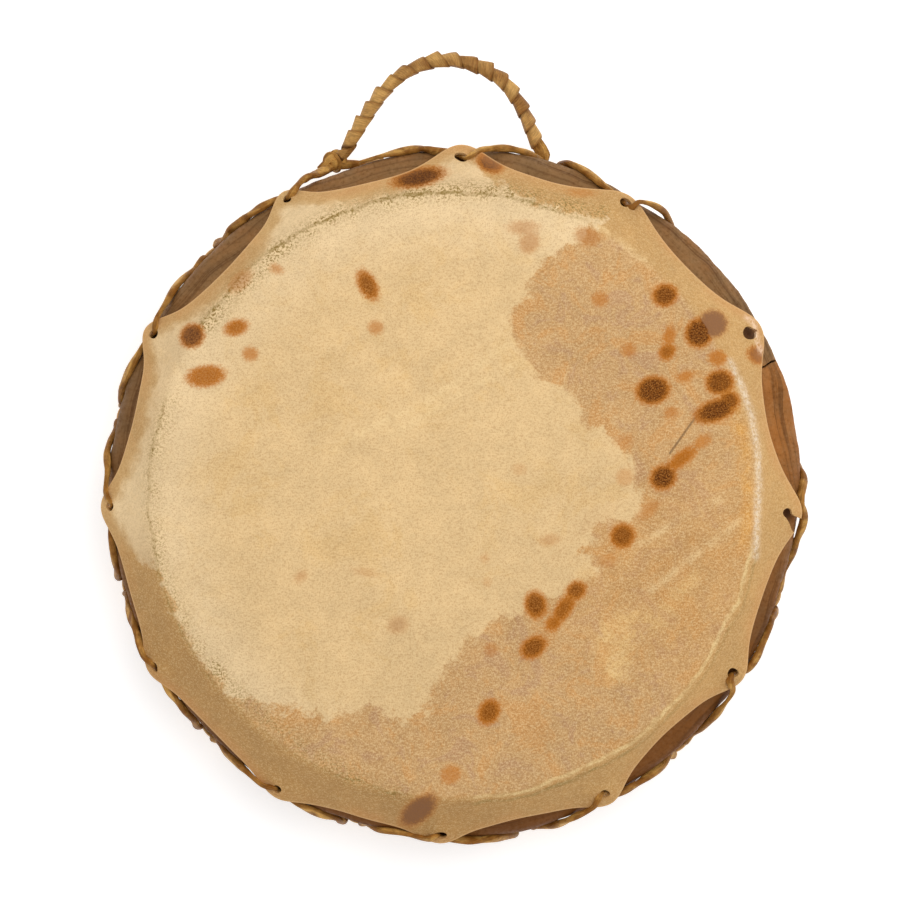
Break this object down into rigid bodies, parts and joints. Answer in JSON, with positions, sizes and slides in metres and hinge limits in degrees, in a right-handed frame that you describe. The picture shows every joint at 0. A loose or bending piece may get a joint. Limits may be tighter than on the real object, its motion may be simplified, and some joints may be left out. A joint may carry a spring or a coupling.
{
  "type": "laced hide drum",
  "caption": "Shallow round hand drum: a hollowed log shell with bevelled rims, two rawhide heads laced together by one thong, and a wrapped rawhide carrying handle.",
  "frame": {"origin": "on the drum's axis, at the underside of the back head that the drum lies on", "axes": "+Z along the drum's axis towards the front head, +Y towards the carrying handle"},
  "size_m": [0.3587, 0.4054, 0.08],
  "materials": {
    "log_wood": "smooth weathered",
    "front_hide": "dry rawhide",
    "back_hide": "dry rawhide",
    "lace_rawhide": "dry rawhide",
    "handle_rawhide": "dry rawhide"
  },
  "bodies": {
    "root": {"log_shell": "log_wood", "front_head": "front_hide", "back_head": "back_hide", "lacing": "lace_rawhide", "handle_core": "lace_rawhide", "handle_wrap": "handle_rawhide"}
  },
  "joints": []
}
